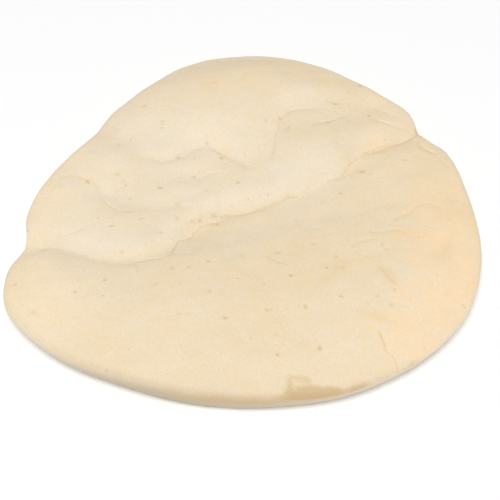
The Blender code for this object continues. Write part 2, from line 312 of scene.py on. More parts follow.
PITS = (
    # back left, left and middle
    Pit(-85.4, 17.6, 1.4, -45, 3.2, 0.50, 0.90),
    Pit(-69.5, 21.4, 1.0, -40, 2.6, 0.35, 0.70),
    Pit(-64.5, 14.3, 0.6, 0, 2.0, 0.30, 0.90),
    Pit(-69.2, 10.7, 0.6, 0, 2.4, 0.30, 0.30),
    Pit(-61.9, 6.3, 0.6, -30, 2.4, 0.40, 0.45),
    Pit(-54.6, -7.7, 2.1, 15, 3.4, 0.40, 0.35),
    Pit(-70.4, -13.2, 0.7, 20, 2.8, 0.40, 0.70),
    Pit(-44.2, -17.1, 0.7, 0, 2.6, 0.30, 0.50),
    Pit(-63.8, -30.0, 0.8, 0, 2.8, 0.40, 0.60),
    Pit(-46.2, 13.6, 1.3, 0, 3.4, 0.40, 0.85),
    Pit(-20.9, 10.6, 0.6, 0, 2.4, 0.30, 0.50),
    Pit(-28.2, 21.7, 0.7, -25, 2.8, 0.35, 0.55),
    Pit(-37.4, 36.1, 0.9, 5, 3.0, 0.35, 0.80),
    Pit(-21.7, 45.3, 0.6, 0, 3.0, 0.40, 0.80),
    Pit(-13.5, 35.0, 0.6, 0, 3.2, 0.40, 0.80),
    Pit(-4.3, 15.8, 0.8, 0, 3.0, 0.35, 0.80),
    Pit(1.0, 5.9, 0.3, 0, 1.6, 0.25, 0.60),
    Pit(-36.7, 2.1, 1.0, 0, 2.6, 0.30, 0.60),
    Pit(-12.1, 30.4, 0.6, 0, 2.4, 0.25, 0.35),
    Pit(-46.9, 55.5, 0.6, -10, 2.6, 0.35, 0.65),
    Pit(-47.1, 59.9, 1.7, -10, 3.0, 0.25, 0.50),
    Pit(-57.8, 72.3, 1.8, 15, 3.0, 0.40, 0.60),
    Pit(-63.8, 47.6, 0.7, 0, 2.6, 0.25, 0.50),
    Pit(-15.1, -7.5, 0.8, 0, 2.4, 0.30, 0.95),
    Pit(-24.3, -6.9, 1.4, 5, 2.6, 0.25, 0.85),
    Pit(-28.4, -8.5, 0.7, 0, 2.4, 0.25, 0.70),
    Pit(-36.3, -8.3, 2.6, 15, 2.6, 0.20, 0.60),
    # back, and right of the middle
    Pit(11.3, 61.1, 0.6, 0, 2.4, 0.30, 0.50),
    Pit(18.7, 63.7, 0.9, 35, 2.6, 0.30, 0.80),
    Pit(23.3, 55.9, 0.7, 0, 2.6, 0.30, 0.50),
    Pit(-5.1, 54.9, 0.6, 0, 2.4, 0.20, 0.30),
    Pit(9.8, 43.8, 0.6, 0, 2.4, 0.20, 0.30),
    Pit(-13.7, 70.9, 0.8, 0, 2.4, 0.20, 0.35),
    Pit(-17.9, 87.1, 0.9, -35, 2.2, 0.20, 0.55),
    Pit(50.3, 74.8, 2.3, 5, 2.8, 0.30, 0.85),
    Pit(45.3, 59.6, 2.6, 10, 2.6, 0.25, 0.80),
    Pit(57.3, 62.6, 1.0, 15, 2.4, 0.25, 0.40),
    Pit(69.5, 68.1, 1.1, -5, 3.0, 0.30, 0.75),
    Pit(65.6, 91.4, 1.3, -30, 3.4, 0.30, 0.90),
    Pit(50.5, 53.3, 0.6, 0, 2.6, 0.25, 0.35),
    Pit(77.9, 50.6, 0.7, 0, 2.4, 0.25, 0.45),
    Pit(63.1, 27.0, 2.3, -5, 3.0, 0.45, 1.00),
    Pit(67.3, 24.3, 0.7, 0, 2.4, 0.20, 0.40),
    Pit(50.9, 11.2, 0.7, 20, 2.6, 0.40, 0.85),
    Pit(28.4, -10.9, 0.4, 0, 2.0, 0.20, 0.25),
    Pit(96.9, 59.0, 1.4, -75, 3.2, 0.70, 1.00),
    Pit(87.0, 34.0, 0.9, 0, 3.0, 0.35, 0.55),
    # front, in rows across the base
    Pit(-71.0, -48.5, 0.9, 5, 2.8, 0.40, 0.85),
    Pit(-85.3, -56.4, 1.0, 15, 3.0, 0.40, 0.85),
    Pit(-71.1, -59.1, 0.3, 0, 1.8, 0.30, 0.60),
    Pit(-45.5, -52.3, 0.8, 0, 3.6, 0.25, 0.35),
    Pit(-56.1, -38.1, 1.4, 0, 3.2, 0.35, 0.25),
    Pit(-37.2, -42.5, 1.1, 10, 2.6, 0.30, 0.70),
    Pit(-28.6, -41.2, 0.7, 0, 3.0, 0.25, 0.45),
    Pit(-19.3, -37.5, 1.2, 10, 2.8, 0.35, 0.80),
    Pit(-18.3, -58.0, 0.6, 0, 3.0, 0.35, 0.60),
    Pit(-2.0, -34.0, 0.9, 0, 2.6, 0.25, 0.45),
    Pit(16.5, -31.5, 2.1, 0, 3.2, 0.45, 0.40),
    Pit(22.7, -47.7, 0.8, 0, 3.0, 0.40, 0.85),
    Pit(-3.9, -49.6, 0.3, 0, 2.0, 0.40, 0.50),
    Pit(9.3, -53.1, 0.3, 0, 2.0, 0.30, 0.85),
    Pit(-10.1, -74.4, 0.7, -20, 3.0, 0.45, 0.90),
    Pit(10.4, -69.6, 0.4, 0, 2.8, 0.40, 0.75),
    Pit(12.4, -69.5, 0.4, 0, 2.2, 0.25, 0.50),
    Pit(-32.7, -71.2, 0.7, 0, 3.2, 0.25, 0.20),
    Pit(-27.8, -71.4, 0.6, 0, 2.6, 0.25, 0.25),
    Pit(-36.8, -78.7, 0.6, 0, 2.4, 0.20, 0.15),
    Pit(15.3, -94.3, 0.8, -90, 2.8, 0.50, 0.90),
    Pit(35.8, -90.6, 1.3, -80, 3.2, 0.50, 0.95),
    Pit(2.3, -85.8, 0.3, 0, 1.8, 0.25, 0.55),
    Pit(-20.3, -99.7, 0.3, 0, 1.8, 0.20, 0.35),
    Pit(34.9, -26.6, 1.0, 20, 2.6, 0.30, 0.65),
    Pit(41.0, -42.5, 0.6, 0, 2.4, 0.30, 0.70),
    Pit(46.0, -35.5, 1.6, 45, 3.0, 0.25, 0.45),
    Pit(49.1, -42.8, 2.6, 60, 2.6, 0.30, 0.55),
    Pit(47.2, -61.2, 0.6, 0, 2.8, 0.45, 0.90),
    Pit(29.4, -67.7, 0.6, -70, 3.0, 0.50, 1.00),
    Pit(69.6, -27.7, 0.6, -90, 2.4, 0.30, 0.60),
    Pit(71.7, -31.1, 0.7, 40, 2.4, 0.30, 0.60),
    Pit(74.2, -57.0, 0.8, 35, 2.8, 0.25, 0.50),
    Pit(65.5, -60.8, 0.8, 0, 3.2, 0.25, 0.45),
    Pit(71.6, -65.8, 1.0, -25, 3.4, 0.30, 0.50),
    Pit(49.3, -57.9, 0.6, 0, 2.6, 0.20, 0.25),
    # along the right rim
    Pit(89.4, -22.0, 0.3, 0, 1.6, 0.25, 0.60),
    Pit(106.5, -9.2, 0.6, 10, 1.4, 0.20, 0.50),
    Pit(114.9, -49.9, 0.3, 0, 1.6, 0.25, 0.55),
    Pit(104.5, -61.2, 0.3, 0, 1.4, 0.20, 0.45),
    Pit(107.7, -64.6, 0.3, -20, 1.8, 0.30, 0.90),
    Pit(108.6, -65.6, 0.3, 0, 1.6, 0.25, 0.80),
    Pit(96.2, -47.6, 0.3, 0, 1.4, 0.20, 0.35),
    Pit(91.3, -62.4, 0.3, 0, 1.4, 0.20, 0.35),
    Pit(86.6, -89.7, 0.3, 0, 1.8, 0.20, 0.35),
    # along the left rim
    Pit(-115.0, -14.7, 0.8, 75, 3.0, 0.25, 0.70),
    Pit(-116.0, -52.1, 1.7, 25, 2.6, 0.20, 0.60),
    Pit(-104.6, -69.1, 0.7, 20, 4.2, 0.30, 0.45),
    Pit(-56.0, -90.3, 0.3, 0, 1.6, 0.25, 0.70),
    Pit(-66.5, -101.7, 0.6, -90, 2.4, 0.25, 0.50),
    Pit(-67.8, -83.4, 0.6, 0, 3.4, 0.25, 0.25),
)

STRAY_PITS = 70  # faint marks of the docker between the clear ones
STRAY_SEED = 27
STRAY_REACH = 100  # how far from the middle they lie, in millimetres
END_DEPTH = 0.3  # of its depth, that a crease keeps at its ends
DEPTH_SHARES = {"crease": 1.0, "pit": 0.82}  # of the depths above, left after the skin closed over them
LINE_STEP = 0.0006  # between the points of a smoothed line
PRESSED_FACE = (0.1, 0.5)  # how far up a point's normal looks where marks begin and are full


def stray_pits():
    """Faint small pits scattered over the upper face."""
    draw = random.Random(STRAY_SEED)
    pits = []
    while len(pits) < STRAY_PITS:
        x, y = draw.uniform(-STRAY_REACH, STRAY_REACH), draw.uniform(-STRAY_REACH, STRAY_REACH)
        pit = Pit(
            x,
            y,
            length=draw.uniform(0.2, 0.9),
            turn=draw.uniform(-30, 30),
            width=draw.uniform(1.4, 2.8),
            depth=draw.uniform(0.06, 0.20),
            browning=draw.uniform(0.05, 0.40),
        )
        if math.hypot(x, y) < STRAY_REACH:
            pits.append(pit)
    return tuple(pits)


def pit_mark(pit):
    """A pit as a mark: a short line through its middle."""
    turn = math.radians(pit.turn)
    dx, dy = pit.length / 4 * math.cos(turn), pit.length / 4 * math.sin(turn)
    return Mark(pit.width, pit.depth, pit.browning, ((pit.x - dx, pit.y - dy), (pit.x + dx, pit.y + dy)))


def mark_lines(name, marks):
    """The marks' routes as edges at z = 0, with each mark's sizes on its points."""
    points, edges, sizes = [], [], []
    for mark in marks:
        for place, (x, y) in enumerate(mark.route):
            if place:
                edges.append((len(points) - 1, len(points)))
            at_end = len(mark.route) > 2 and place in (0, len(mark.route) - 1)
            points.append((x * MILLIMETRE, y * MILLIMETRE, 0))
            depth = mark.depth * MILLIMETRE * (END_DEPTH if at_end else 1)
            sizes.append((mark.width / 2 * MILLIMETRE, depth, mark.browning))
    mesh = bpy.data.meshes.new(name)
    mesh.from_pydata(points, edges, [])
    for column, attribute in enumerate(("half_width", "depth", "browning")):
        values = mesh.attributes.new(attribute, "FLOAT", "POINT")
        values.data.foreach_set("value", [size[column] for size in sizes])
    lines = bpy.data.objects.new(name, mesh)
    bpy.context.scene.collection.objects.link(lines)
    return lines


def add(tree, kind, inputs=None, **settings):
    """Adds a node to a tree. Its inputs are given as values or as the sockets that feed them."""
    node = tree.nodes.new(kind)
    for name, value in settings.items():
        setattr(node, name, value)
    for key, value in (inputs or {}).items():
        if isinstance(value, bpy.types.NodeSocket):
            tree.links.new(value, node.inputs[key])
        else:
            node.inputs[key].default_value = value
    return node


def maths(tree, operation, *values, **settings):
    """The result of a Math node, in a shader or a geometry tree."""
    return add(tree, "ShaderNodeMath", dict(enumerate(values)), operation=operation, **settings).outputs[0]


def vector_maths(tree, operation, *values):
    """The result of a Vector Math node: one number for a length, else a vector."""
    node = add(tree, "ShaderNodeVectorMath", dict(enumerate(values)), operation=operation)
    return node.outputs["Value" if operation == "LENGTH" else "Vector"]


def scaled(tree, vector, share):
    """A vector or a colour times one number."""
    node = add(tree, "ShaderNodeVectorMath", {0: vector, "Scale": share}, operation="SCALE")
    return node.outputs["Vector"]


def ramp(tree, value, start, end, low=0.0, high=1.0):
    """A value mapped smoothly from start..end onto low..high, held at both ends."""
    node = add(
        tree,
        "ShaderNodeMapRange",
        {"Value": value, "From Min": start, "From Max": end, "To Min": low, "To Max": high},
        interpolation_type="SMOOTHSTEP",
    )
    return node.outputs["Result"]


def named(tree, name):
    """A named number of the points, read inside a geometry tree."""
    node = add(tree, "GeometryNodeInputNamedAttribute", {"Name": name}, data_type="FLOAT")
    return node.outputs["Attribute"]


def keep_as(tree, geometry, name, value, kind="FLOAT"):
    """Stores a value on the points under a name, and gives the geometry that follows."""
    node = add(
        tree,
        "GeometryNodeStoreNamedAttribute",
        {"Geometry": geometry, "Name": name, "Value": value},
        data_type=kind,
        domain="POINT",
    )
    return node.outputs["Geometry"]


def new_tree(name, inputs):
    """An empty geometry tree with a mesh in and out, and these named inputs beside it."""
    tree = bpy.data.node_groups.new(name, "GeometryNodeTree")
    tree.interface.new_socket("Geometry", in_out="INPUT", socket_type="NodeSocketGeometry")
    tree.interface.new_socket("Geometry", in_out="OUTPUT", socket_type="NodeSocketGeometry")
    for label, kind in inputs.items():
        tree.interface.new_socket(label, in_out="INPUT", socket_type="NodeSocket" + kind)
    return tree, add(tree, "NodeGroupInput").outputs


def close_tree(tree, geometry, material):
    """Ends a tree: real geometry, in its material."""
    real = add(tree, "GeometryNodeRealizeInstances", {"Geometry": geometry}).outputs["Geometry"]
    painted = add(tree, "GeometryNodeSetMaterial", {"Geometry": real, "Material": material})
    add(tree, "NodeGroupOutput", {"Geometry": painted.outputs["Geometry"]})


def pressing_tree(name):
    """Presses lines into the upper face, and keeps on each point its way from the nearest line."""
    inputs = {"Lines": "Object", "Step": "Float", "Depth Share": "Float", "Material": "Material"}
    tree, given = new_tree("press_" + name, inputs)
    lines = add(tree, "GeometryNodeObjectInfo", {"Object": given["Lines"]}).outputs["Geometry"]
    curves = add(tree, "GeometryNodeMeshToCurve", {"Mesh": lines}).outputs["Curve"]
    rounded = add(tree, "GeometryNodeCurveSplineType", {"Curve": curves}, spline_type="CATMULL_ROM")
    route = {"Curve": rounded.outputs["Curve"], "Length": given["Step"]}
    fine = add(tree, "GeometryNodeResampleCurve", route, mode="LENGTH")
    threads = add(tree, "GeometryNodeCurveToMesh", {"Curve": fine.outputs["Curve"]}).outputs["Mesh"]

    place = add(tree, "GeometryNodeInputPosition").outputs["Position"]
    plan = vector_maths(tree, "MULTIPLY", place, (1, 1, 0))
    search = {"Geometry": threads, "Sample Position": plan}
    nearest = add(tree, "GeometryNodeProximity", search, target_element="EDGES").outputs
    index = add(tree, "GeometryNodeSampleNearest", search).outputs["Index"]

    def sampled(attribute):
        """A number of the line's nearest point."""
        node = add(
            tree,
            "GeometryNodeSampleIndex",
            {"Geometry": threads, "Value": named(tree, attribute), "Index": index},
            data_type="FLOAT",
            domain="POINT",
        )
        return node.outputs["Value"]

    half_width = sampled("half_width")
    way = vector_maths(tree, "SUBTRACT", plan, nearest["Position"])
    share = maths(tree, "DIVIDE", nearest["Distance"], half_width)
    normal = add(tree, "GeometryNodeInputNormal").outputs["Normal"]
    upward = ramp(tree, add(tree, "ShaderNodeSeparateXYZ", {"Vector": normal}).outputs["Z"], *PRESSED_FACE)
    pressed = maths(tree, "MULTIPLY", ramp(tree, share, 0, 1, 1, 0), sampled("depth"))
    pressed = maths(tree, "MULTIPLY", maths(tree, "MULTIPLY", pressed, given["Depth Share"]), upward)
    drop = add(tree, "ShaderNodeCombineXYZ", {"Z": maths(tree, "MULTIPLY", pressed, -1.0)}).outputs["Vector"]

    geometry = keep_as(tree, given["Geometry"], name + "_way", way, "FLOAT_VECTOR")
    geometry = keep_as(tree, geometry, name + "_half_width", half_width)
    browning = maths(tree, "MULTIPLY", sampled("browning"), upward)
    geometry = keep_as(tree, geometry, name + "_browning", browning)
    pressed_in = add(tree, "GeometryNodeSetPosition", {"Geometry": geometry, "Offset": drop})
    close_tree(tree, pressed_in.outputs["Geometry"], given["Material"])
    return tree


def grow(piece, tree, values):
    """Runs a geometry tree on a piece with these input values, and keeps the plain result."""
    modifier = piece.modifiers.new(tree.name, "NODES")
    modifier.node_group = tree
    sockets = {item.name: item.identifier for item in tree.interface.items_tree if item.in_out == "INPUT"}
    for name, value in values.items():
        modifier[sockets[name]] = value
    settled(piece)


crust = bpy.data.materials.new("baked_crust")
crust.use_nodes = True

pit_marks = tuple(pit_mark(pit) for pit in PITS + stray_pits())
split_near(base, [pit.route for pit in pit_marks])
for mark_kind, marks in (("crease", CREASES), ("pit", pit_marks)):
    lines = mark_lines(mark_kind + "_lines", marks)
    depth_share = DEPTH_SHARES[mark_kind]
    pressing = {"Lines": lines, "Step": LINE_STEP, "Depth Share": depth_share, "Material": crust}
    grow(base, pressing_tree(mark_kind), pressing)
    bpy.data.objects.remove(lines)


# ---- Base: the skin ----
# The dough's skin dried before it was baked. It is smooth to the touch but never even: it rises and
# falls by tenths of a millimetre, with a finer pebbling where the crumb shows through.

SKIN_ROLL = 0.00028  # the height of the broad waves
SKIN_ROLL_SCALE = 95.0  # waves per metre
SKIN_PEBBLE = 0.00012  # the height of the pebbling
SKIN_PEBBLE_SCALE = 330.0


def skin_tree():
    """Moves the surface in and out by two sizes of smooth noise."""
    heights = ("Roll", "Pebble")
    inputs = {name: "Float" for height in heights for name in (height, height + " Scale")}
    tree, given = new_tree("raise_skin", {**inputs, "Material": "Material"})
    place = add(tree, "GeometryNodeInputPosition").outputs["Position"]
    normal = add(tree, "GeometryNodeInputNormal").outputs["Normal"]
    total = None
    for height in heights:
        scale = given[height + " Scale"]
        bumps = add(tree, "ShaderNodeTexNoise", {"Vector": place, "Scale": scale, "Detail": 2.0})
        centred = maths(tree, "SUBTRACT", bumps.outputs["Fac"], 0.5)
        wave = maths(tree, "MULTIPLY", centred, maths(tree, "MULTIPLY", given[height], 2.0))
        total = wave if total is None else maths(tree, "ADD", total, wave)
    moving = {"Geometry": given["Geometry"], "Offset": scaled(tree, normal, total)}
    moved = add(tree, "GeometryNodeSetPosition", moving)
    close_tree(tree, moved.outputs["Geometry"], given["Material"])
    return tree


skin = {"Roll": SKIN_ROLL, "Roll Scale": SKIN_ROLL_SCALE}
skin |= {"Pebble": SKIN_PEBBLE, "Pebble Scale": SKIN_PEBBLE_SCALE, "Material": crust}
grow(base, skin_tree(), skin)
base.data.shade_smooth()


# ---- Base: the crust's colours ----
# The crust is hardly baked: cream white, a little more golden where the oven was hotter, and dusty with
# flour on the rim's side. The colours are patches with soft edges, broken up by mottling. Some of them are
# painted light and shade: over the folds and hollows, and on the front rim's edge and side.

COOL_CREAM = (0.795, 0.695, 0.545, 1)
WARM_CREAM = (0.80, 0.622, 0.375, 1)
TAN = (0.66, 0.50, 0.27, 1)
PEACH = (0.88, 0.67, 0.435, 1)
BAKED_TAN = (0.60, 0.42, 0.21, 1)
BROWN = (0.45, 0.25, 0.04, 1)
# flour on the rim's side, greyed by painted shade at the front
FLOUR_IN_PAINTED_SHADE = (0.59, 0.505, 0.37, 1)
WHITE_FLOUR = (0.84, 0.77, 0.64, 1)
# the front rim's side: baked tan, darkened by painted shade
BAKED_SIDE_IN_PAINTED_SHADE = (0.58, 0.425, 0.245, 1)
FLECK_COLOUR = (-0.08, -0.14, -0.42)  # how much each colour falls in a full fleck

# A noise: its bumps per metre, how many finer layers it has, how strong they are, and how far its pattern
# is shifted.
Noise = namedtuple("Noise", "scale detail roughness shift")
SHIFT_DIRECTION = (1, 0.37, 0.11)

CLOUD = Noise(34, 2.0, 0.5, 0.0)
MOTTLE = Noise(90, 5.0, 0.85, 1.7)
SPECK = Noise(900, 2.0, 0.9, 3.1)
GRAIN = Noise(1500, 2.0, 0.6, 5.3)
WOBBLE = Noise(700, 2.0, 0.5, 0.0)

CLOUD_STRENGTH = 0.3  # of the broad uneven browning
MOTTLE_STRENGTH = 1.1  # of the finer uneven browning
SPECK_STRENGTH = 1.0  # of the grainy uneven browning
BLUSH_MOTTLE = 2.2  # how ragged the peach blush is
BLUSH_SPECK = 1.2
BLUSH_RANGE = (0.12, 0.92)
BLUSH_STRENGTH = 0.85
BLUSH_FLECKS = 0.9  # how much stronger the flecks are in the blush
FRECKLE_SPECK = (0.60, 0.74)  # the specks that brown into freckles
FRECKLE_MOTTLE = (0.40, 0.70, 0.15, 1.0)  # fewer where the crust is cooler
FRECKLE_STRENGTH = 0.30
EDGE_MOTTLE = (0.35, 0.60, 0.35, 0.85)  # the baked edge comes and goes with the mottling
RIM_TAN_AND_PAINTED_SHADE_STRENGTH = 0.9
SIDE_STRENGTH = 0.95
STAIN_MOTTLE = 0.9  # how ragged the baked patches are
STAIN_RANGE = (0.30, 0.75)
STAIN_STRENGTH = 0.72
WOBBLE_REACH = 0.0016  # how far the edge of a browned mark wanders
# A mark's dark core and the soft halo around it: browning, and in a crease also painted shade.
CORE_EDGE = (0.1, 0.5)  # of a mark's half width, over which its dark core fades
SOFT_EDGE = (0.1, 1.3)  # the same for the soft stain around it
CORE_STRENGTHS = {"crease": 0.26, "pit": 0.28}
SOFT_STRENGTHS = {"crease": 0.20, "pit": 0.52}
ROUGHNESS_MOTTLE = (0.3, 0.7, 0.72, 0.88)  # the crust's roughness, from cooler to browner
SPECULAR = 0.25
RELIEF_STRENGTH = 0.55  # of the finest grain, too small for the mesh
RELIEF_HEIGHT = 0.00025
SPECK_RELIEF = 0.7
GRAIN_RELIEF = 0.3

# The two values between which each zone fades: first of how far up a point's normal looks, then of how
# far in from the outline the point lies, in millimetres.
CORNER_FACING = (0.15, 0.60)
# where the painted shade on the front rim's edge begins and is full, by how far up the normal looks
PAINTED_EDGE_SHADE_FACING = (0.25, 0.70)
STAIN_FACING = (0.05, 0.40)
SIDE_FACING = (0.20, 0.85)
RIM_TAN_AND_PAINTED_SHADE_FACING = (-0.20, 0.30)
CORNER_REACH = (1.0, 3.4)
# the same painted shade, by how far in from the outline, and its strength
PAINTED_EDGE_SHADE_REACH = (0.5, 6.0)
PAINTED_EDGE_SHADE_STRENGTH = 0.20  # of the front rim's shade
OUTLINE_SECTORS = 240  # in which the outline's distance from the middle is measured

# A patch is an oval on the upper face: its middle, half length and half width in millimetres, its turn
# anticlockwise in degrees, and its strength.
Patch = namedtuple("Patch", "x y half_length half_width turn strength")

WARM_PATCHES = (  # cooler where the strength is below zero
    Patch(106, -8, 18, 44, 8, 0.30),
    Patch(62, -76, 34, 24, 20, 0.05),
    Patch(-40, 45, 62, 36, 0, -0.38),
    Patch(-80, -22, 34, 12, 8, -0.40),
    Patch(30, 24, 30, 14, 25, -0.35),
    Patch(10, -18, 40, 10, 15, -0.20),
    Patch(62, -58, 20, 14, 0, -0.15),
    Patch(-3, 84, 34, 9, 0, 0.15),
    Patch(30, 75, 18, 10, 0, -0.25),
    Patch(18, -48, 20, 12, 10, 0.12),
    Patch(-82, 10, 18, 10, -10, -0.25),
    Patch(-40, 6, 52, 11, 5, -0.13),
    Patch(-65, -28, 18, 9, 0, -0.15),
    Patch(77, 43, 12, 7, 20, 0.12),
    Patch(43, 6, 18, 8, 20, -0.12),
    Patch(27, -30, 16, 7, 0, 0.12),
    Patch(40, -72, 12, 10, 0, -0.12),
    Patch(24, -95, 20, 7, 0, 0.16),
    Patch(-8, 3, 26, 8, 15, -0.20),
    Patch(-38, -20, 12, 8, 0, -0.16),
    Patch(93, -60, 10, 8, 0, -0.14),
    Patch(103, -31, 6, 6, 0, 0.40),
    Patch(-24, 104, 30, 6, 5, -0.10),
    Patch(42, 84, 16, 8, -20, -0.12),
    Patch(-12, -62, 30, 14, 0, 0.08),
    Patch(72, -49, 8, 3, -57, 0.50),
    Patch(44, -46, 10, 3, 45, 0.22),
    Patch(66, -74, 14, 3, -18, 0.40),
    Patch(92, -20, 16, 3, 5, 0.30),
    Patch(60, -38, 14, 3, 20, 0.25),
    Patch(85, -48, 12, 10, 0, -0.20),
    Patch(34, -98, 16, 6, 0, -0.12),
    Patch(-96, 9, 9, 5, 30, 0.10),
    Patch(-94, -6, 20, 8, 0, -0.15),
    Patch(30, -90, 30, 9, 0, -0.08),
    Patch(-60, -62, 34, 16, 0, -0.10),
    Patch(111, -4, 7, 9, 0, 0.20),
    Patch(75, -82, 9, 9, 0, -0.13),
    Patch(58, -54, 14, 8, 0, 0.13),
    Patch(14, -99, 16, 7, 0, -0.18),
    Patch(8, 44, 14, 8, 0, -0.08),
)
# Painted light and shade: lighter and darker patches over the folds, the hollows and the front rim, where the
# light falls differently. A few also darken the crust's own golden streaks.
PAINTED_SHADING_AND_TONE_PATCHES = (  # darker where the strength is below zero
    Patch(110, -42, 20, 34, 8, 0.02),
    Patch(-100, -60, 24, 22, 0, 0.05),
    Patch(-42, 92, 44, 8, 24, -0.05),
    Patch(-70, 72, 50, 12, 38, -0.02),
    Patch(104, -29, 4.0, 7.0, -20, -0.045),
    Patch(100, -33, 6.0, 3.5, 20, -0.035),
    Patch(-15, 56, 22, 11, 8, 0.03),
    Patch(22, 55, 3, 8, 8, -0.05),
    Patch(-89, -27, 17, 4.5, -14, -0.04),
    Patch(-98, -6, 20, 8, -5, 0.03),
    Patch(-73, 6, 16, 4, -25, -0.03),
    Patch(-37, 43, 8, 4, 0, -0.03),
    Patch(-78, 36, 10, 5, 20, -0.025),
    Patch(-64, 54, 14, 5, 35, 0.04),
    Patch(62, 73, 13, 4.5, -12, -0.045),
    Patch(27, -35, 16, 4, 5, -0.03),
    Patch(54.5, 33, 9, 2.0, 50, 0.035),
    Patch(58, 22, 12, 4, 35, -0.02),
    Patch(24, -91, 20, 9, 0, -0.02),
    Patch(72, -49, 8, 2.6, -57, -0.02),
    Patch(44, -46, 10, 2.6, 45, -0.02),
    Patch(-8, -90, 20, 18, 0, -0.025),
    Patch(-62, 8, 14, 7, -10, -0.04),
    Patch(-50, -18, 10, 8, 0, -0.03),
    Patch(-14, -6, 9, 3.5, 10, -0.04),
    Patch(36, 6, 20, 6, 20, -0.02),
    Patch(-97, -22, 8, 4, 0, -0.03),
    Patch(66, -74, 14, 2.6, -18, -0.02),
    Patch(10, 13, 28, 8, 20, -0.02),
    Patch(-2, 0, 16, 3, 12, -0.03),
    Patch(-22, -112, 30, 7, 5, -0.03),
    Patch(-108, -40, 12, 12, 0, 0.04),
    Patch(-104, -7, 12, 6, 0, 0.03),
    Patch(8, 44, 14, 8, 0, 0.03),
    Patch(90, 35, 10, 8, 0, 0.03),
    Patch(0, 70, 60, 8, 0, -0.016),
    Patch(111, -4, 7, 9, 0, -0.012),
)
PEACH_PATCHES = (
    Patch(104, -34, 20, 46, 10, 0.85),
    Patch(80, -76, 22, 26, -35, 0.75),
    Patch(112, 18, 10, 16, 20, 0.40),
    Patch(60, -60, 14, 12, 0, -0.20),
    Patch(82, -95, 10, 6, 27, 0.35),
)
STAIN_PATCHES = (  # baked patches with clear edges
    Patch(31, -116, 13.5, 6.6, 3, 1.10),
    Patch(54, -112.5, 15, 4.4, 12, 0.66),
    Patch(80, -99, 9, 3.4, 30, 0.62),
    Patch(25, -106, 6.5, 2.6, -3, 0.47),
    Patch(20, -110, 2.2, 5, 0, 0.38),
)
EDGE_PATCHES = (  # where the rim's corner baked
    Patch(22, -119, 66, 14, 5, 1.10),
)
# Painted shade on the rim's side at the front and the left, where it lies in shadow: the flour turns grey.
RIM_SIDE_PAINTED_SHADE_PATCHES = (  # where the rim's side is greyer
    Patch(-42, -116, 100, 50, 0, 1.00),
)
# The front rim's side is more golden: partly baked, partly painted shade.
RIM_TAN_AND_PAINTED_SHADE_PATCHES = (  # where the rim's side is more golden
    Patch(-2, -122, 52, 30, 0, 1.15),
)


def spread(x, y, patches):
    """How strongly the patches colour each point, added up."""
    total = np.zeros(len(x))
    for patch in patches:
        turn = math.radians(patch.turn)
        dx, dy = x / MILLIMETRE - patch.x, y / MILLIMETRE - patch.y
        along = (dx * math.cos(turn) + dy * math.sin(turn)) / patch.half_length
        beside = (dy * math.cos(turn) - dx * math.sin(turn)) / patch.half_width
        total += patch.strength * np.exp(-(along**2) - beside**2)
    return total


def from_outline(x, y):
    """How far in from the outline each point lies, in millimetres, measured towards the middle."""
    bearing, distance = np.arctan2(y, x), np.hypot(x, y) / MILLIMETRE
    sector = np.floor((bearing + math.pi) / math.tau * OUTLINE_SECTORS).astype(int) % OUTLINE_SECTORS
    furthest = np.zeros(OUTLINE_SECTORS)
    np.maximum.at(furthest, sector, distance)
    middles = (np.arange(OUTLINE_SECTORS) + 0.5) / OUTLINE_SECTORS * math.tau - math.pi
    return np.interp(bearing, middles, furthest, period=math.tau) - distance


def colour_zones(piece):
    """Stores the patches and the rim's zones as values on the mesh's points."""
    places, normals = points_of(piece.data)
    x, y, _ = places.T
    upward = normals[:, 2]
    inward = from_outline(x, y)
    corner = smooth_step(upward, *CORNER_FACING) * (1 - smooth_step(inward, *CORNER_REACH))
    # Painted shade that makes the front rim's edge look more rounded under the light.
    painted_edge_shade = smooth_step(upward, *PAINTED_EDGE_SHADE_FACING) * (1 - smooth_step(inward, *PAINTED_EDGE_SHADE_REACH))
    rim_side_painted_shade = spread(x, y, RIM_SIDE_PAINTED_SHADE_PATCHES)
    zones = {
        "warmth": spread(x, y, WARM_PATCHES),
        # painted light and shade and some of the crust's own tone, less the painted shade on the front rim's
        # edge
        "painted_shading_and_tone": spread(x, y, PAINTED_SHADING_AND_TONE_PATCHES) - PAINTED_EDGE_SHADE_STRENGTH * painted_edge_shade * rim_side_painted_shade,
        "peach": spread(x, y, PEACH_PATCHES),
        "stain": smooth_step(upward, *STAIN_FACING) * spread(x, y, STAIN_PATCHES),
        "baked_edge": corner * spread(x, y, EDGE_PATCHES),
        "rim_side": 1 - smooth_step(upward, *SIDE_FACING),
        "rim_side_painted_shade": rim_side_painted_shade,
        "rim_tan_and_painted_shade": smooth_step(upward, *RIM_TAN_AND_PAINTED_SHADE_FACING) * spread(x, y, RIM_TAN_AND_PAINTED_SHADE_PATCHES),
    }
    for name, values in zones.items():
        attribute = piece.data.attributes.new(name, "FLOAT", "POINT")
        attribute.data.foreach_set("value", values.astype(np.float32))


colour_zones(base)


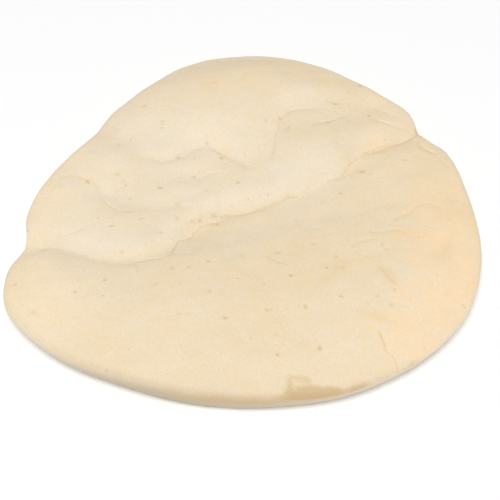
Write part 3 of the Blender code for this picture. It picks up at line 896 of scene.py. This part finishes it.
def mark_group():
    """A shader group for a darkened mark: its dark core and the soft halo around it, browned, and in a crease
    also painted shade.
    """
    group = bpy.data.node_groups.new("darkened_mark", "ShaderNodeTree")
    inputs = {"Way": "Vector", "Half Width": "Float", "Browning": "Float", "Wobble": "Vector"}
    for label, kind in inputs.items():
        group.interface.new_socket(label, in_out="INPUT", socket_type="NodeSocket" + kind)
    for label in ("Core", "Halo"):
        group.interface.new_socket(label, in_out="OUTPUT", socket_type="NodeSocketFloat")
    given = add(group, "NodeGroupInput").outputs
    way = vector_maths(group, "ADD", given["Way"], given["Wobble"])
    share = maths(group, "DIVIDE", vector_maths(group, "LENGTH", way), given["Half Width"])
    darkened = {
        "Core": maths(group, "MULTIPLY", ramp(group, share, *CORE_EDGE, 1, 0), given["Browning"]),
        "Halo": maths(group, "MULTIPLY", ramp(group, share, *SOFT_EDGE, 1, 0), given["Browning"]),
    }
    add(group, "NodeGroupOutput", darkened)
    return group


def zone(tree, name, output="Fac"):
    """An attribute of the mesh, read inside a material."""
    return add(tree, "ShaderNodeAttribute", attribute_name=name).outputs[output]


def noise(tree, place, kind):
    """The outputs of a smooth noise. Its values lie between about 0.2 and 0.8."""
    moved = vector_maths(tree, "ADD", place, tuple(kind.shift * part for part in SHIFT_DIRECTION))
    sizes = {"Scale": kind.scale, "Detail": kind.detail, "Roughness": kind.roughness}
    return add(tree, "ShaderNodeTexNoise", {"Vector": moved, **sizes}).outputs


def blend_colour(tree, share, first, second):
    """A mix of two colours. The mix node's sockets 6, 7 and 2 are its two colours and its result."""
    node = add(tree, "ShaderNodeMix", {"Factor": share, 6: first, 7: second}, data_type="RGBA")
    return node.outputs[2]


def cream_crust(tree, cloud, mottle, speck):
    """The upper face's colour: cream mottled with gold, blushed with peach, flecked and freckled."""
    mottled = maths(tree, "SUBTRACT", mottle, 0.5)
    specked = maths(tree, "SUBTRACT", speck, 0.5)
    warmth = maths(tree, "MULTIPLY_ADD", mottled, MOTTLE_STRENGTH, 0.5)
    warmth = maths(tree, "MULTIPLY_ADD", maths(tree, "SUBTRACT", cloud, 0.5), CLOUD_STRENGTH, warmth)
    warmth = maths(tree, "MULTIPLY_ADD", specked, SPECK_STRENGTH, warmth)
    warmth = maths(tree, "ADD", warmth, zone(tree, "warmth"), use_clamp=True)
    colour = blend_colour(tree, warmth, COOL_CREAM, WARM_CREAM)

    peach = zone(tree, "peach")
    blush = maths(tree, "MULTIPLY_ADD", mottled, BLUSH_MOTTLE, peach)
    blush = maths(tree, "MULTIPLY_ADD", specked, BLUSH_SPECK, blush)
    colour = blend_colour(tree, ramp(tree, blush, *BLUSH_RANGE, 0.0, BLUSH_STRENGTH), colour, PEACH)

    strength = maths(tree, "MULTIPLY_ADD", peach, BLUSH_FLECKS, 1.0)
    flecks = scaled(tree, FLECK_COLOUR, maths(tree, "MULTIPLY", specked, strength))
    colour = vector_maths(tree, "MULTIPLY", colour, vector_maths(tree, "ADD", flecks, (1, 1, 1)))

    freckles = maths(tree, "MULTIPLY", ramp(tree, speck, *FRECKLE_SPECK), ramp(tree, mottle, *FRECKLE_MOTTLE))
    return blend_colour(tree, maths(tree, "MULTIPLY", freckles, FRECKLE_STRENGTH), colour, TAN)


def rim_over(tree, colour, mottle):
    """A colour with the rim's baked edge, its floury and tan side in painted shade, and the baked patches
    over it.
    """
    baked = maths(tree, "MULTIPLY", zone(tree, "baked_edge"), ramp(tree, mottle, *EDGE_MOTTLE))
    colour = blend_colour(tree, baked, colour, TAN)
    # The rim's side: white flour, turned grey by painted shade at the front.
    side = blend_colour(tree, zone(tree, "rim_side_painted_shade"), WHITE_FLOUR, FLOUR_IN_PAINTED_SHADE)
    # The front rim's side turns tan: partly baked, partly painted shade.
    rim_tan_and_painted_shade = maths(tree, "MULTIPLY", zone(tree, "rim_tan_and_painted_shade"), RIM_TAN_AND_PAINTED_SHADE_STRENGTH)
    side = blend_colour(tree, rim_tan_and_painted_shade, side, BAKED_SIDE_IN_PAINTED_SHADE)
    colour = blend_colour(tree, maths(tree, "MULTIPLY", zone(tree, "rim_side"), SIDE_STRENGTH), colour, side)
    ragged = maths(tree, "MULTIPLY", maths(tree, "SUBTRACT", mottle, 0.5), STAIN_MOTTLE)
    stain = maths(tree, "ADD", zone(tree, "stain"), ragged)
    return blend_colour(tree, ramp(tree, stain, *STAIN_RANGE, 0.0, STAIN_STRENGTH), colour, BAKED_TAN)


def marks_over(tree, colour, place):
    """A colour with the darkening of the creases and the pits laid over it: browning, and in the creases also
    painted shade.
    """
    group = mark_group()
    wobble = vector_maths(tree, "SUBTRACT", noise(tree, place, WOBBLE)["Color"], (0.5, 0.5, 0.5))
    wobble = vector_maths(tree, "MULTIPLY", wobble, (WOBBLE_REACH, WOBBLE_REACH, 0))
    for kind in ("crease", "pit"):
        mark = {
            "Way": zone(tree, kind + "_way", "Vector"),
            "Half Width": zone(tree, kind + "_half_width"),
            "Browning": zone(tree, kind + "_browning"),
            "Wobble": wobble,
        }
        darkened = add(tree, "ShaderNodeGroup", mark, node_tree=group).outputs
        soft = maths(tree, "MULTIPLY", darkened["Halo"], SOFT_STRENGTHS[kind])
        core = maths(tree, "MULTIPLY", darkened["Core"], CORE_STRENGTHS[kind])
        colour = blend_colour(tree, core, blend_colour(tree, soft, colour, TAN), BROWN)
    return colour


def paint_crust(material):
    """The whole crust: its colours, its roughness and the finest grain of its relief."""
    tree = material.node_tree
    shader = tree.nodes["Principled BSDF"].inputs
    place = add(tree, "ShaderNodeTexCoord").outputs["Object"]
    cloud, mottle, speck, grain = (noise(tree, place, kind)["Fac"] for kind in (CLOUD, MOTTLE, SPECK, GRAIN))

    colour = rim_over(tree, cream_crust(tree, cloud, mottle, speck), mottle)
    colour = marks_over(tree, colour, place)
    # The painted light and shade scales the whole colour.
    painted_shading_and_tone = maths(tree, "ADD", zone(tree, "painted_shading_and_tone"), 1.0)
    tree.links.new(scaled(tree, colour, painted_shading_and_tone), shader["Base Color"])

    speck_height = maths(tree, "MULTIPLY", speck, SPECK_RELIEF)
    height = maths(tree, "ADD", speck_height, maths(tree, "MULTIPLY", grain, GRAIN_RELIEF))
    relief = {"Height": height, "Strength": RELIEF_STRENGTH, "Distance": RELIEF_HEIGHT}
    tree.links.new(add(tree, "ShaderNodeBump", relief).outputs["Normal"], shader["Normal"])
    tree.links.new(ramp(tree, mottle, *ROUGHNESS_MOTTLE), shader["Roughness"])
    shader["Specular IOR Level"].default_value = SPECULAR


paint_crust(crust)
base.data.materials.clear()
base.data.materials.append(crust)
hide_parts("pizza_base")
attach(base, "root")


# ---- Table top ----
# A wide matt white board under the base. It reaches past the picture on every side, so that none of its
# edges shows.

BOARD_HALF_WIDTH = 2.0
BOARD_WHITE = (0.93, 0.93, 0.93, 1)
BOARD_ROUGHNESS = 0.9

board_mesh = bpy.data.meshes.new("white_board")
corners = [(-BOARD_HALF_WIDTH, -BOARD_HALF_WIDTH), (BOARD_HALF_WIDTH, -BOARD_HALF_WIDTH)]
corners += [(BOARD_HALF_WIDTH, BOARD_HALF_WIDTH), (-BOARD_HALF_WIDTH, BOARD_HALF_WIDTH)]
board_mesh.from_pydata([(x, y, 0) for x, y in corners], [], [(0, 1, 2, 3)])
board = bpy.data.objects.new("white_board", board_mesh)
bpy.context.scene.collection.objects.link(board)
board_paint = bpy.data.materials.new("matt_white")
board_paint.use_nodes = True
board_shader = board_paint.node_tree.nodes["Principled BSDF"].inputs
board_shader["Base Color"].default_value = BOARD_WHITE
board_shader["Roughness"].default_value = BOARD_ROUGHNESS
board_mesh.materials.append(board_paint)


# ---- Studio light ----
# One large soft box above the front, in a bright white room. The room's light fills the shadows, and the
# soft box lies far enough forward to shape the folds.

ROOM_STRENGTH = 0.42
SOFT_BOX_POWER = 116
SOFT_BOX_SIZE = 2.0
SOFT_BOX_PLACE = Vector((-0.15, -1.45, 3.6))

room = bpy.data.worlds.new("white_room")
room.use_nodes = True
room_light = room.node_tree.nodes["Background"].inputs
room_light["Color"].default_value = (1, 1, 1, 1)
room_light["Strength"].default_value = ROOM_STRENGTH
bpy.context.scene.world = room
soft_box = bpy.data.lights.new("soft_box", "AREA")
soft_box.energy = SOFT_BOX_POWER
soft_box.size = SOFT_BOX_SIZE
soft_box_holder = bpy.data.objects.new("soft_box", soft_box)
soft_box_holder.location = SOFT_BOX_PLACE
soft_box_holder.rotation_euler = (-SOFT_BOX_PLACE).to_track_quat("-Z", "Y").to_euler()
bpy.context.scene.collection.objects.link(soft_box_holder)
bpy.context.scene.view_settings.view_transform = "Standard"
